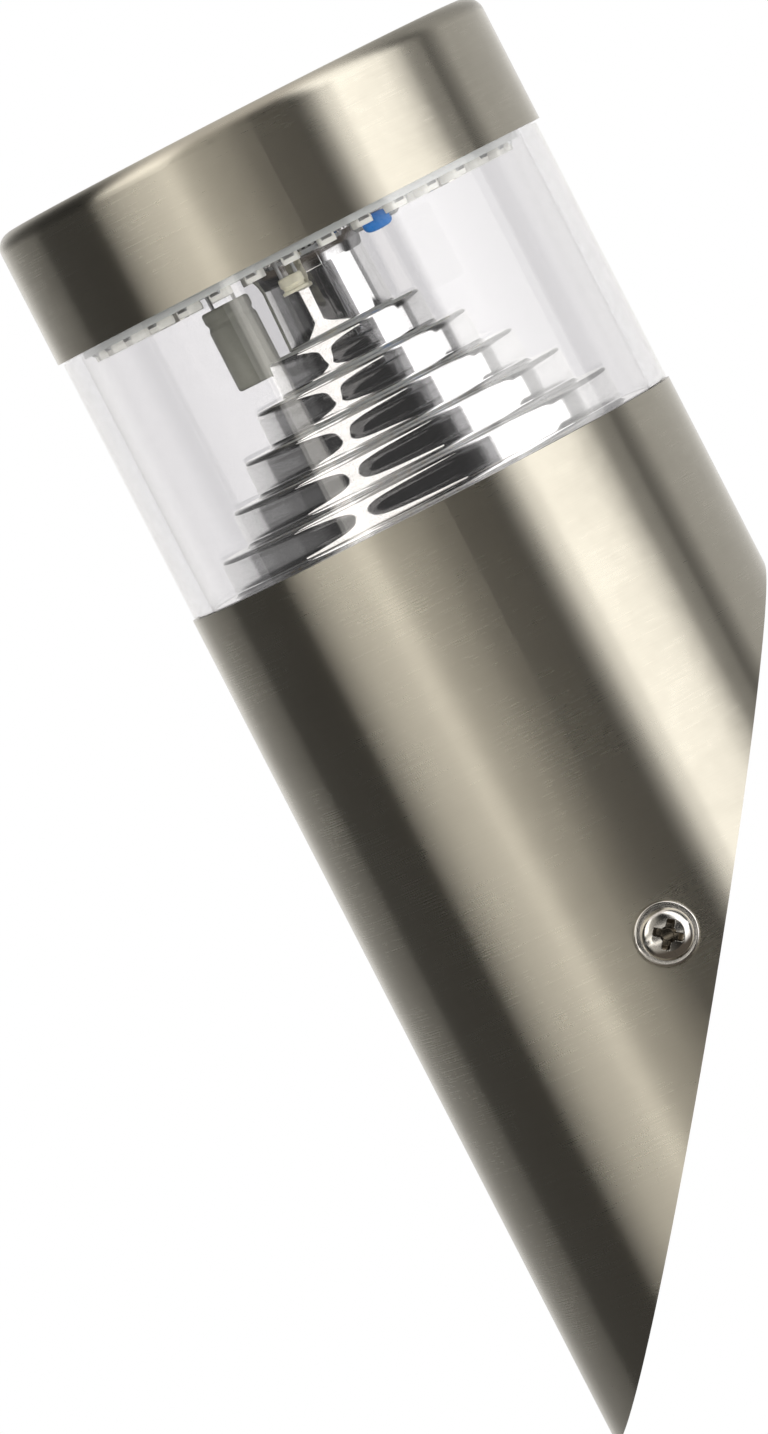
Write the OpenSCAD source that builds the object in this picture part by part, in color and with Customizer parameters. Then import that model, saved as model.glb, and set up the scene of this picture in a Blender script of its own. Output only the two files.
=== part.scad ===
/* [Tube] */
// Outside diameter of the steel tube
tube_d = 76; // [70:1:90]
// Wall of the steel tube
tube_wall = 1; // [0.8:0.1:1.4]
// Long front side of the tube, from its lower tip to its top edge
tube_len = 131.7; // [120:0.1:160]
// Angle between the tube and the wall
tilt = 36.7; // [34:0.1:41]
// Radial clearance of the parts that are pushed into the tube
tube_fit = 0.15; // [0.1:0.05:0.3]

/* [Lens] */
// Height of clear lens that shows between tube and cap
lens_show = 41; // [30:1:60]
// How far the outside of the lens stands back from the outside of the tube
lens_back = 0.3; // [0.1:0.1:0.6]
// Wall of the lens
lens_wall = 2.7; // [2:0.1:5]
// Length of the lens spigot that stands in the tube
foot_len = 5.5; // [4:0.5:8]
// Length of the lens spigot that stands in the cap
neck_len = 6; // [5:0.5:8]
// Gap between the lens shoulders and the metal edges beside them
shoulder_gap = 0.3; // [0.2:0.1:0.5]
// Thickness of the two silicone rings that the lens stands between
seal_t = 1.5; // [1:0.1:2]

/* [Cap] */
// Outside height of the cap
cap_h = 20; // [18:0.5:26]
// How far the cap stands proud of the tube, on the radius
cap_proud = 0.4; // [0.2:0.1:1]
// Sheet thickness of the cap
cap_wall = 0.8; // [0.6:0.1:1]
// Outside radius of the cap's rounded top edge
cap_round = 2.6; // [1.5:0.1:4]

/* [Reflector] */
// Radius of the reflector's neck where it meets the circuit board
throat_r = 7.4; // [6.5:0.1:8]
// Radius of the neck where it meets the first step
collar_r = 8.5; // [8:0.1:9]
// Radius of the first step
step_r = 12; // [11.4:0.1:12.8]
// Width of the flat floor around the lowest step
floor_w = 3.85; // [3:0.05:6]
// Number of steps
step_count = 5; // [2:1:5]
// Height of each step
step_pitch = 5.5; // [4.5:0.1:5.8]
// Radius of the rounded edge and of the rounded foot of each step
step_round = 1; // [0.6:0.1:1.1]
// Draft of each step wall, as growth of its radius
step_draft = 0.15; // [0.05:0.05:0.3]
// Height of the reflector's flat floor above the top edge of the tube
floor_up = 0.1; // [0.1:0.1:0.6]
// Wall of the reflector moulding
shell_t = 1.2; // [0.8:0.1:1.3]
// Radial clearance between the reflector or circuit board and the lens
lens_fit = 0.4; // [0.3:0.1:0.8]

/* [Circuit board] */
// Depth of the board's lower face below the lower rim of the cap
board_down = 1; // [0.5:0.1:2]
// Thickness of the circuit board
board_t = 1.6; // [1:0.2:2.4]
// Number of light emitting diodes in the ring
led_count = 36; // [12:1:40]
// Distance from the middle of a diode to the edge of the board
led_inset = 3.1; // [2.2:0.1:6]
// Width of a diode along the ring
led_w = 2.5; // [2:0.1:3]
// Length of a diode across the ring
led_l = 3.4; // [2.5:0.1:4]
// Height of a diode
led_h = 1.2; // [0.7:0.1:2]
// Diameter of the reservoir capacitor
can_d = 7.5; // [5:0.5:10]
// Length of the reservoir capacitor
can_len = 12; // [10:0.5:16]
// Diameter of the resistor's body
resistor_d = 2.6; // [1.8:0.1:3]
// Length of the resistor's body
resistor_len = 6; // [4:0.5:8]
// Diameter of the suppressor's body
suppressor_d = 3.6; // [3:0.1:5]
// Height of the suppressor's body
suppressor_h = 2.5; // [2:0.1:4]

/* [Centre tube] */
// Outside diameter of the hollow threaded rod in the neck
rod_d = 10; // [9:0.5:10]
// Bore of the hollow rod
rod_bore = 7.2; // [7.2:0.1:8]
// Width across the flats of the two rod nuts
nut_flats = 14; // [13:0.5:17]
// Thickness of a rod nut
nut_t = 3; // [2:0.5:4]
// Diameter of the washers under the rod nuts
washer_d = 18; // [16:0.5:19]
// Thickness of the washers under the rod nuts
washer_t = 1; // [0.8:0.1:1.6]
// Outside diameter of one insulated lead
lead_d = 2.2; // [1.6:0.1:2.2]

/* [Wall bracket] */
// Distance from the middle of the slanted cut to the side screws, along the tube
screw_up = 13.1; // [12:0.1:15]
// Sheet thickness of the bracket
strap_t = 1.5; // [1.2:0.1:2]
// Width of the strap on the wall
strap_w = 24; // [22:0.5:28]
// Width of each ear
ear_w = 12; // [11.5:0.5:13]
// Clear space between an ear and the inside of the tube
ear_gap = 2.2; // [1.8:0.1:3]
// Distance between the two holes for the wall screws
hole_span = 46; // [44:1:48]
// Diameter of the holes for the wall screws
hole_d = 5.2; // [4:0.1:6]
// Diameter of the cable entry in the strap
entry_d = 14; // [12:0.5:14]

/* [Side screws] */
// Thread diameter of the side screws
screw_d = 4; // [3:0.5:4]
// Length of the side screws under the head
screw_len = 10; // [9:0.5:14]
// Diameter of the side screw's head
head_d = 7.5; // [6:0.1:8]
// Height of the side screw's head
head_h = 2.6; // [2:0.1:3]
// Diameter of the washer under the head
side_washer_d = 9.2; // [8.5:0.1:10]
// Width of the square nuts
square_nut_w = 7; // [6:0.5:7]
// Thickness of the square nuts
square_nut_t = 3; // [2:0.1:3.2]

/* [Hidden] */

fine = 96;
small = 40;
tiny = 16;

tube_r = tube_d / 2;
tube_ir = tube_r - tube_wall;
cut_half = tube_r / tan(tilt);
z_top = tube_len - cut_half;
z_rim = z_top + lens_show;
z_cap = z_rim + cap_h;

cap_r = tube_r + cap_proud;
cap_ir = cap_r - cap_wall;
lens_r = tube_r - lens_back;
lens_ir = lens_r - lens_wall;
foot_r = tube_ir - tube_fit;
neck_r = cap_ir - 2 * tube_fit;
z_foot = z_top - foot_len;
z_neck = z_rim + neck_len;

plate_t = 1.5;
plate_flange = 7;
z_plate = z_foot - seal_t;
z_under = z_plate - plate_t;
in_lens_r = lens_ir - lens_fit;
seal_play = 0.1;
seal_in_r = in_lens_r + 0.3;

z_board = z_rim - board_down;
z_board_top = z_board + board_t;
z_floor = z_top + floor_up;
step_grow = (in_lens_r - floor_w - step_draft - step_r) / (step_count - 1);
z_steps = z_floor + step_count * step_pitch;
wall_slope = step_draft / step_pitch;
neck_slope = (collar_r - throat_r) / (z_board - z_steps);
round_over = 0.005;

carrier_t = 2;
carrier_gap = 0.5;
carrier_play = 0.1;
hub_t = 2.5;
hub_r = 16;
z_flange = z_neck + seal_t;
carrier_r = cap_ir - carrier_gap;
skirt_r = in_lens_r - carrier_play;
channel_r = (hub_r + skirt_r - carrier_t) / 2;
glue_play = 0.02;
glue_step = 0.2;

rod_r = rod_d / 2;
rod_tail = 12;
rod_over = 1.2;
z_rod_low = z_under - rod_tail;
z_hub = z_board_top + hub_t;
z_rod_high = z_hub + washer_t + nut_t + rod_over;
rod_clear = 0.25;
thread_play = 0.05;

boss_r = 3;
board_screw_r = 1.25;
board_screw_len = 6;
board_screw_clear = 0.15;
board_head_r = 2.3;
board_head_h = 1.3;
board_recess = 0.8;
led_turn = 4;
pin_r = 0.3;

// Places on the lower face of the board, as seen from the right hand side of the lamp
can_x = -11;
can_y = -13.3;
can_drop = 2.3;
can_edge = 0.5;
can_foot = 0.6;
can_pin = 1.75;
groove_down = 2.2;
groove_half = 0.6;
groove_deep = 0.35;
resistor_x = 11;
resistor_y = 10.6;
resistor_turn = 50;
resistor_cap = 1.4;
resistor_waist = 0.25;
resistor_edge = 0.4;
resistor_gap = 0.1;
resistor_pin = 1.6;
suppressor_x = 9.6;
suppressor_y = -3.8;
suppressor_drop = 2.6;
suppressor_rim = 0.25;
suppressor_rim_h = 0.8;
suppressor_pin = 1.1;

// Parts on the upper face of the board
rectifier_w = 4.8;
rectifier_l = 6.4;
rectifier_h = 2.4;
rectifier_up = 0.2;
rectifier_y = 2;
rectifier_pin_w = 1.2;
rectifier_pin_d = 0.8;
rectifier_pin_h = 0.6;
dropper_w = 13;
dropper_d = 6;
dropper_h = 5.5;

lead_r = lead_d / 2;
lead_gap = 0.15;
lead_x = lead_r + lead_gap;
high_bend = 5.5;
high_rise = 0.5;
low_drop = 3;
lead_hole_r = lead_x + lead_r + 0.5;

block_w = 25;
block_d = 15;
block_h = 13;
block_gap = 0.6;
block_y = washer_d / 2 + block_gap + block_d / 2;
pole_pitch = 8;
pole_w = 6.8;
pole_foot = 2.5;
pole_hole_r = 2;
driver_hole_r = 1.8;
z_block = z_under - block_h;
z_pole = z_block + block_h / 2;
clamp_len = 12;
clamp_r = 1.9;
clamp_bore_r = 1.3;
clamp_y = block_y - clamp_len / 2;
clamp_screw_r = 1.3;
clamp_screw_y = 4;
clamp_screw_sink = 1;
block_screw_r = 1.4;
block_screw_clear = 0.2;
block_head_r = 2.6;
block_head_h = 1.4;
pole_bend = 3.5;
earth_gap = 2.6;
earth_y = block_y + block_d / 2 + earth_gap;
lug_t = 0.8;
lug_r = 2.4;
lug_side = 0.5;
lug_tail = 2.5;
lug_reach = 6;
rivet_r = 1.8;
rivet_h = 1.6;

ear_x = tube_ir - ear_gap;
fix_y = -screw_up * sin(tilt);
axis_z = -screw_up * cos(tilt);
ear_over = 4.5;
ear_front = fix_y - ear_over;
slot_clear = 0.2;
waist_over = 5;
waist_x = hole_span / 2 + waist_over;
lip_t = 1.2;
lip_gap = 0.3;

seat_play = 0.1;
grommet_bore_r = 3.5;
grommet_lip = 2;
grommet_lip_t = 1.2;
grommet_bevel = 1;
grommet_len = 4.9;
grommet_back = 0.4;
earth_aside = 6.8;
earth_down = 4.8;
earth_washer_r = 4.2;
earth_washer_t = 1;
earth_stand = 1.3;
earth_head_r = 3.5;
earth_head_h = 2.2;
earth_recess = 1;

seat_deep = 0.35;
seat_clear = 0.2;
seat_r = side_washer_d / 2 + seat_clear;
side_washer_t = 0.7;
shank_r = screw_d / 2;
shank_clear = 0.25;
nut_gap = 0.3;
nut_play = 0.1;
head_rim = 0.9;
head_recess = 1.5;
recess_reach = 1.9;
recess_turn = 10;
recess_w = 0.8;
past = 1;

// The tube's own axis leans out from the wall by the tilt and meets it below the side screws
module along_tube() {
    translate([0, 0, axis_z]) rotate([tilt, 0, 0]) children();
}

// A ring or disc standing on height z, with its axis on the tube's axis
module ring(r_out, r_in, h, z, facets = fine) {
    translate([0, 0, z]) difference() {
        cylinder(r = r_out, h = h, $fn = facets);
        if (r_in > 0) translate([0, 0, -1]) cylinder(r = r_in, h = h + 2, $fn = facets);
    }
}

// A hexagonal nut with its bore, standing on height z
module hex_nut(flats, bore_r, h, z) {
    translate([0, 0, z]) difference() {
        cylinder(r = flats / sqrt(3), h = h, $fn = 6);
        translate([0, 0, -1]) cylinder(r = bore_r, h = h + 2, $fn = small);
    }
}

// Copies on both sides of the lamp's middle plane, pointing outward along X
module both_sides() {
    for (side = [0, 1]) mirror([side, 0, 0]) children();
}

// Moves a part that points along X to the side screw's axis
module at_side_screw() {
    translate([0, fix_y, 0]) children();
}

// A rod along X from x0 to x1
module rod_x(r, x0, x1, facets = small) {
    translate([x0, 0, 0]) rotate([0, 90, 0]) cylinder(r = r, h = x1 - x0, $fn = facets);
}

// Everything in front of the wall's surface
module before_wall() {
    reach = 3 * tube_len;
    translate([-reach / 2, -reach, -reach / 2]) cube([reach, reach, reach]);
}

module wall_bracket() {
    color("gainsboro") difference() {
        union() {
            translate([-waist_x, -strap_t, -strap_w / 2])
                cube([2 * waist_x, strap_t, strap_w]);
            translate([-ear_x, -strap_t, -ear_w / 2])
                cube([2 * ear_x, strap_t, ear_w]);
            both_sides() bracket_ear();
        }
        for (side = [-1, 1]) translate([side * hole_span / 2, 0, 0])
            strap_hole(hole_d / 2, small);
        strap_hole(entry_d / 2, fine);
        earth_screw_place() strap_hole(shank_r + slot_clear, small);
    }
}

// A round cut right through the strap
module strap_hole(r, facets) {
    translate([0, past, 0]) rotate([90, 0, 0])
        cylinder(r = r, h = strap_t + 2 * past, $fn = facets);
}

// One ear, bent up from the strap, with its slot open to the front and a lip for the nut
module bracket_ear() {
    ear_len = -ear_front - strap_t;
    difference() {
        translate([ear_x - strap_t, ear_front, -ear_w / 2])
            cube([strap_t, ear_len, ear_w]);
        at_side_screw() rod_x(shank_r + slot_clear, ear_x - 2 * strap_t, ear_x + past);
        translate([ear_x - 2 * strap_t, ear_front - past, -shank_r - slot_clear])
            cube([3 * strap_t, ear_over + past, 2 * (shank_r + slot_clear)]);
    }
    translate([ear_x - strap_t - square_nut_t, ear_front, -square_nut_w / 2 - lip_gap - lip_t])
        cube([square_nut_t, ear_len, lip_t]);
}

// The earth screw stands beside the cable entry, clear of the wall screw's head
module earth_screw_place() {
    translate([entry_d / 2 + earth_aside, 0, strap_w / 2 - earth_down]) children();
}

module cable_grommet() {
    groove_r = entry_d / 2 - tube_fit;
    lip_r = entry_d / 2 + grommet_lip;
    front = strap_t + seat_play;
    z_lip = front + grommet_lip_t;
    color("dimgray") rotate([90, 0, 0]) rotate_extrude($fn = fine)
        polygon([
            [grommet_bore_r, grommet_back], [groove_r, grommet_back], [groove_r, front],
            [lip_r, front], [lip_r, z_lip], [groove_r, z_lip + grommet_bevel],
            [grommet_bore_r + grommet_bevel, front + grommet_len],
            [grommet_bore_r, front + grommet_len]
        ]);
}

// Pan head screw with a cup washer, in the strap
module earth_screw() {
    z_washer = strap_t + seat_play;
    z_head = z_washer + earth_washer_t + earth_stand;
    color("gold") earth_screw_place() rotate([90, 0, 0]) {
        translate([0, 0, seat_play]) cylinder(r = shank_r, h = z_head - seat_play, $fn = small);
        translate([0, 0, z_washer])
            cylinder(r = earth_washer_r, h = earth_washer_t, $fn = small);
        translate([0, 0, z_head]) difference() {
            cylinder(r = earth_head_r, h = earth_head_h, $fn = small);
            translate([0, 0, earth_recess]) cross_recess(earth_head_r / 2, earth_head_h);
        }
    }
}

module body_tube() {
    color("silver") difference() {
        intersection() {
            along_tube() difference() {
                translate([0, 0, -cut_half - past])
                    cylinder(r = tube_r, h = tube_len + past, $fn = fine);
                translate([0, 0, -cut_half - 2 * past])
                    cylinder(r = tube_ir, h = tube_len + 3 * past, $fn = fine);
            }
            before_wall();
        }
        both_sides() at_side_screw() {
            rod_x(shank_r + shank_clear, tube_ir - 2 * past, tube_r + past);
            rod_x(seat_r, tube_r - seat_deep, tube_r + past);
        }
    }
}

// Flanged disc, welded into the tube, that the lens and the rod stand on
module mounting_plate() {
    color("darkgray") along_tube() translate([0, 0, z_plate]) rotate_extrude($fn = fine)
        polygon([
            [rod_r + rod_clear, 0], [foot_r, 0], [foot_r, -plate_flange],
            [foot_r - plate_t, -plate_flange], [foot_r - plate_t, -plate_t],
            [rod_r + rod_clear, -plate_t]
        ]);
}

module lower_seal() {
    color("whitesmoke") along_tube() ring(foot_r - seal_play, seal_in_r, seal_t, z_plate);
}

module upper_seal() {
    color("whitesmoke") along_tube() ring(neck_r - seal_play, lens_ir, seal_t, z_neck);
}

module lens() {
    color("aliceblue", 0.35) along_tube() rotate_extrude($fn = fine)
        polygon([
            [lens_ir, z_foot], [foot_r, z_foot], [foot_r, z_top + shoulder_gap],
            [lens_r, z_top + shoulder_gap], [lens_r, z_rim - shoulder_gap],
            [neck_r, z_rim - shoulder_gap], [neck_r, z_neck], [lens_ir, z_neck]
        ]);
}

// Radius of the reflector's outside at the top of step i, where step 0 is the highest
function step_top_r(i) = step_r + i * step_grow;

// Height of the top of step i
function step_top_z(i) = z_steps - i * step_pitch;

// Profile of the reflector from its throat down to its floor, moved inward by the inset
function stair(inset) = concat(
    [[throat_r - inset, z_board], [collar_r - inset, z_steps - inset]],
    [for (i = [0 : step_count - 1]) each [
        [step_top_r(i) - inset, step_top_z(i) - inset],
        [step_top_r(i) + step_draft - inset, step_top_z(i + 1) - inset]
    ]]
);

// Ring with the section of a square corner outside a circle, up and outward of the centre or turned
module round_ring(centre, turn) {
    rotate_extrude($fn = fine) translate(centre) rotate([0, 0, turn]) difference() {
        square(2 * step_round);
        circle(r = step_round, $fn = fine);
    }
}

// What the rounding takes off the sharp edge on top of a step's wall
module edge_off(r, z) {
    round_ring([r + step_round * wall_slope, z] + (round_over - step_round) * [1, 1], 0);
}

// What the rounding adds at the foot of a wall of the slope
module foot_on(r, z, slope) {
    round_ring([r - step_round * slope, z] - (round_over - step_round) * [1, 1], 180);
}

// Stepped cone with its neck, its flat floor and the skirt that it stands on
module reflector() {
    skirt_in_r = in_lens_r - shell_t;
    color("white") along_tube() difference() {
        union() {
            rotate_extrude($fn = fine) polygon(concat(
                [[0, z_board]], stair(0), [[in_lens_r, z_floor], [in_lens_r, z_plate], [0, z_plate]]
            ));
            foot_on(collar_r, z_steps, neck_slope);
            for (i = [0 : step_count - 1])
                foot_on(step_top_r(i) + step_draft, step_top_z(i + 1), wall_slope);
        }
        for (i = [0 : step_count - 1]) edge_off(step_top_r(i), step_top_z(i));
        rotate_extrude($fn = fine) polygon(concat(
            [[0, z_board + past], [throat_r - shell_t, z_board + past]], stair(shell_t),
            [
                [skirt_in_r, z_floor - shell_t], [skirt_in_r, z_plate - past],
                [0, z_plate - past]
            ]
        ));
    }
}

module threaded_rod() {
    color("goldenrod") along_tube()
        ring(rod_r, rod_bore / 2, z_rod_high - z_rod_low, z_rod_low);
}

module rod_washers() {
    color("silver") along_tube() for (z = [z_under - washer_t, z_hub])
        ring(washer_d / 2, rod_r + rod_clear, washer_t, z);
}

module rod_nuts() {
    color("goldenrod") along_tube() for (z = [z_under - washer_t - nut_t, z_hub + washer_t])
        hex_nut(nut_flats, rod_r + thread_play, nut_t, z);
}

// Places of the three screws that hold the circuit board
module board_screw_places() {
    for (turn = [60, 180, 300]) rotate([0, 0, turn]) translate([channel_r, 0, 0]) children();
}

module circuit_board() {
    color("honeydew") along_tube() difference() {
        ring(in_lens_r, rod_r + rod_clear, board_t, z_board);
        board_screw_places() translate([0, 0, z_board - past])
            cylinder(r = board_screw_r + board_screw_clear, h = board_t + 2 * past, $fn = small);
    }
}

// Ring of surface mounted diodes on the lower face of the board
module leds() {
    x0 = in_lens_r - led_inset - led_l / 2;
    color("ivory") along_tube() for (i = [0 : led_count - 1])
        rotate([0, 0, led_turn + i * 360 / led_count])
            translate([x0, -led_w / 2, z_board - led_h]) cube([led_l, led_w, led_h]);
}

// Two thin pins of a part that hangs from the board
module pins(apart, long) {
    for (side = [-1, 1]) translate([0, side * apart, 0]) cylinder(r = pin_r, h = long, $fn = tiny);
}

// Reservoir capacitor with the rolled groove near its leads
module reservoir_capacitor() {
    r = can_d / 2;
    top = -can_drop;
    low = top - can_len;
    z_groove = top - groove_down;
    color("dimgray") along_tube() translate([can_x, can_y, z_board]) {
        rotate_extrude($fn = small) polygon([
            [0, top], [r - can_edge, top], [r, top - can_edge], [r, z_groove + groove_half],
            [r - groove_deep, z_groove], [r, z_groove - groove_half],
            [r, low + can_foot], [r - can_foot, low], [0, low]
        ]);
        translate([0, 0, top]) pins(can_pin, can_drop);
    }
}

// Axial resistor, with end caps a little thicker than its waist
module resistor() {
    r = resistor_d / 2;
    r_end = r - resistor_edge;
    r_waist = r - resistor_waist;
    h = resistor_len / 2;
    h_cap = h - resistor_cap;
    h_waist = h_cap - 2 * resistor_waist;
    pin_x = h + resistor_pin;
    drop = r + resistor_gap;
    color("dodgerblue") along_tube() translate([resistor_x, resistor_y, z_board - drop])
        rotate([0, 0, resistor_turn]) {
            rotate([0, 90, 0]) rotate_extrude($fn = small) polygon([
                [0, -h], [r_end, -h], [r, -h + resistor_edge], [r, -h_cap], [r_waist, -h_waist],
                [r_waist, h_waist], [r, h_cap], [r, h - resistor_edge], [r_end, h], [0, h]
            ]);
            rod_x(pin_r, -pin_x, pin_x, tiny);
            rotate([0, 0, 90]) pins(pin_x - pin_r, drop);
        }
}

// Small round suppressor that hangs on its leads in front of the neck
module suppressor() {
    r = suppressor_d / 2;
    r_rim = r + suppressor_rim;
    top = -suppressor_drop;
    low = top - suppressor_h;
    color("cornsilk") along_tube() translate([suppressor_x, suppressor_y, z_board]) {
        rotate_extrude($fn = small) polygon([
            [0, low], [r, low], [r_rim, low + suppressor_rim], [r_rim, low + suppressor_rim_h],
            [r, low + suppressor_rim_h + suppressor_rim],
            [r, top - suppressor_rim], [r - suppressor_rim, top], [0, top]
        ]);
        translate([0, 0, top]) pins(suppressor_pin, suppressor_drop);
    }
}

// The hidden parts lie on the upper face of the board, under the carrier's flange
module bridge_rectifier() {
    x_pin = rectifier_w / 2 + rectifier_pin_w / 2;
    color("black") along_tube() translate([channel_r, rectifier_y, z_board_top]) {
        translate([-rectifier_w / 2, -rectifier_l / 2, rectifier_up])
            cube([rectifier_w, rectifier_l, rectifier_h]);
        for (x = [-1, 1], y = [-1, 1])
            translate([x * x_pin - rectifier_pin_w / 2, y * rectifier_l / 3, 0])
                cube([rectifier_pin_w, rectifier_pin_d, rectifier_pin_h]);
    }
}

module dropper_capacitor() {
    color("gold") along_tube()
        translate([-dropper_w / 2, channel_r - dropper_d / 2, z_board_top])
            cube([dropper_w, dropper_d, dropper_h]);
}

// Insulating carrier: it stands on the lens, presses the board down and takes the upper nut
module board_carrier() {
    skirt_in_r = skirt_r - carrier_t;
    hub_in_r = hub_r - carrier_t;
    bore_r = rod_r + rod_clear;
    z_carrier = z_flange + carrier_t;
    color("white") along_tube() difference() {
        union() {
            rotate_extrude($fn = fine) polygon([
                [bore_r, z_board_top], [hub_r, z_board_top], [hub_r, z_flange],
                [skirt_in_r, z_flange], [skirt_in_r, z_board_top],
                [skirt_r, z_board_top], [skirt_r, z_flange], [carrier_r, z_flange],
                [carrier_r, z_carrier], [hub_in_r, z_carrier], [hub_in_r, z_hub], [bore_r, z_hub]
            ]);
            board_screw_places() translate([0, 0, z_board_top])
                cylinder(r = boss_r, h = z_carrier - z_board_top, $fn = small);
        }
        board_screw_places() translate([0, 0, z_board_top - past])
            cylinder(r = board_screw_r + thread_play, h = board_screw_len + past, $fn = small);
        translate([0, -2 * high_bend, z_board_top - past])
            cylinder(r = lead_hole_r, h = hub_t + 2 * past, $fn = small);
    }
}

module board_screws() {
    color("silver") along_tube() board_screw_places() translate([0, 0, z_board]) {
        cylinder(r = board_screw_r, h = board_screw_len, $fn = small);
        translate([0, 0, -board_head_h]) difference() {
            cylinder(r = board_head_r, h = board_head_h, $fn = small);
            translate([0, 0, -past])
                cross_recess(board_head_r / 2, past + board_recess);
        }
    }
}

// Cross recess for a screwdriver, from height 0 upward
module cross_recess(reach, deep) {
    for (turn = [0, 90]) rotate([0, 0, turn])
        translate([-reach, -recess_w / 2, 0]) cube([2 * reach, recess_w, deep]);
}

module cap_adhesive() {
    color("gray") along_tube()
        ring(cap_ir - glue_play, carrier_r + glue_play, carrier_t - 2 * glue_step,
            z_flange + glue_step);
}

// Deep drawn cap with a rounded top edge, closed on top
module top_cap() {
    inner_round = cap_round - cap_wall;
    color("silver") along_tube() rotate_extrude($fn = fine) difference() {
        square([cap_r, z_cap]);
        square([cap_r, z_rim]);
        square([cap_ir, z_cap - cap_round]);
        square([cap_r - cap_round, z_cap - cap_wall]);
        translate([cap_r - cap_round, z_cap - cap_round])
            circle(r = inner_round, $fn = fine);
        translate([cap_r - cap_round, z_cap - cap_round]) difference() {
            square([cap_round + past, cap_round + past]);
            circle(r = cap_round, $fn = fine);
        }
    }
}

// Copies at the three poles of the terminal block
module poles() {
    for (i = [-1 : 1]) translate([i * pole_pitch, 0, 0]) children();
}

// Three pole terminal block, screwed to the underside of the mounting plate
module terminal_block() {
    color("ivory") along_tube() translate([0, block_y, z_block]) difference() {
        union() {
            translate([-block_w / 2, -block_d / 2, pole_foot])
                cube([block_w, block_d, block_h - pole_foot]);
            poles() translate([-pole_w / 2, -block_d / 2, 0]) cube([pole_w, block_d, block_h]);
        }
        poles() translate([0, -block_d / 2 - past, block_h / 2])
            rotate([-90, 0, 0]) cylinder(r = pole_hole_r, h = block_d + 2 * past, $fn = small);
        poles() for (side = [-1, 1]) translate([0, side * clamp_screw_y, -past])
            cylinder(r = driver_hole_r, h = block_h / 2, $fn = small);
        translate([pole_pitch / 2, 0, -past])
            cylinder(r = block_screw_r + block_screw_clear, h = block_h + 2 * past, $fn = small);
    }
}

// Brass tube in each pole
module terminal_clamps() {
    color("goldenrod") along_tube() poles() translate([0, clamp_y, z_pole])
        rotate([-90, 0, 0]) ring(clamp_r, clamp_bore_r, clamp_len, 0, small);
}

module terminal_screws() {
    screw_h = block_h / 2 - clamp_screw_sink - clamp_r - thread_play;
    color("silver") along_tube() poles() for (side = [-1, 1])
        translate([0, block_y + side * clamp_screw_y, z_block + clamp_screw_sink])
            cylinder(r = clamp_screw_r, h = screw_h, $fn = small);
}

module block_screw() {
    color("silver") along_tube() translate([pole_pitch / 2, block_y, z_block]) {
        cylinder(r = block_screw_r, h = block_h, $fn = small);
        translate([0, 0, -block_head_h])
            cylinder(r = block_head_r, h = block_head_h, $fn = small);
    }
}

// A turn of lead round the X axis, in the plane of Y and Z, from angle a over sweep s
module turn_yz(bend, a, s) {
    rotate([90, 0, 90]) rotate([0, 0, a])
        rotate_extrude(angle = s, $fn = fine) translate([bend, 0]) circle(r = lead_r, $fn = small);
}

// A straight piece of lead along the tube's axis
module lead_run(z0, z1) {
    translate([0, 0, z0]) cylinder(r = lead_r, h = z1 - z0, $fn = small);
}

// One lead: out of its pole, down beside the rod, up through the rod, over its end to the board
module lead() {
    hook = (pole_pitch - lead_x) / 2;
    z_low = z_rod_low - low_drop;
    z_high = z_rod_high + high_rise;
    translate([pole_pitch, pole_bend, z_pole]) rotate([-90, 0, 0])
        cylinder(r = lead_r, h = clamp_y - pole_bend, $fn = small);
    translate([pole_pitch, pole_bend, z_pole - pole_bend]) turn_yz(pole_bend, 90, 90);
    translate([pole_pitch, 0, 0]) lead_run(z_low, z_pole - pole_bend);
    translate([lead_x + hook, 0, z_low]) rotate([90, 0, 0]) rotate([0, 0, 180])
        rotate_extrude(angle = 180, $fn = fine) translate([hook, 0]) circle(r = lead_r, $fn = small);
    translate([lead_x, 0, 0]) lead_run(z_low, z_high);
    translate([lead_x, -high_bend, z_high]) turn_yz(high_bend, 0, 180);
    translate([lead_x, -2 * high_bend, 0]) lead_run(z_board_top, z_high);
}

module live_lead() {
    color("saddlebrown") along_tube() lead();
}

module neutral_lead() {
    color("steelblue") along_tube() mirror([1, 0, 0]) lead();
}

// Earth lead: out of the middle pole on its far side and up to its lug under the plate
module earth_lead() {
    y_out = block_y + clamp_len / 2;
    z_lug = z_under - lug_t;
    color("yellowgreen") along_tube() {
        translate([0, y_out, z_pole]) rotate([-90, 0, 0])
            cylinder(r = lead_r, h = earth_y - pole_bend - y_out, $fn = small);
        translate([0, earth_y - pole_bend, z_pole + pole_bend]) turn_yz(pole_bend, 270, 90);
        translate([0, earth_y, 0]) lead_run(z_pole + pole_bend, z_lug);
    }
}

// Ring lug of the earth lead with the rivet that holds it to the plate
module earth_lug() {
    half_w = lead_r + lug_side;
    color("silver") along_tube() translate([0, earth_y, z_under - lug_t]) {
        translate([-lug_tail, -half_w, 0]) cube([lug_tail + lug_reach, 2 * half_w, lug_t]);
        translate([lug_reach, 0, 0]) cylinder(r = lug_r, h = lug_t, $fn = small);
        translate([lug_reach, 0, -rivet_h]) cylinder(r = rivet_r, h = rivet_h, $fn = small);
    }
}

// Pan head screw along X, its head outside the tube
module side_screw() {
    x_head = tube_r - seat_deep + side_washer_t;
    color("silver") at_side_screw() {
        rod_x(shank_r, x_head - screw_len, x_head);
        translate([x_head, 0, 0]) rotate([0, 90, 0]) difference() {
            rotate_extrude($fn = small) pan_head_profile();
            translate([0, 0, head_h - head_recess]) rotate([0, 0, recess_turn])
                cross_recess(recess_reach, head_recess + past);
        }
    }
}

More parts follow.
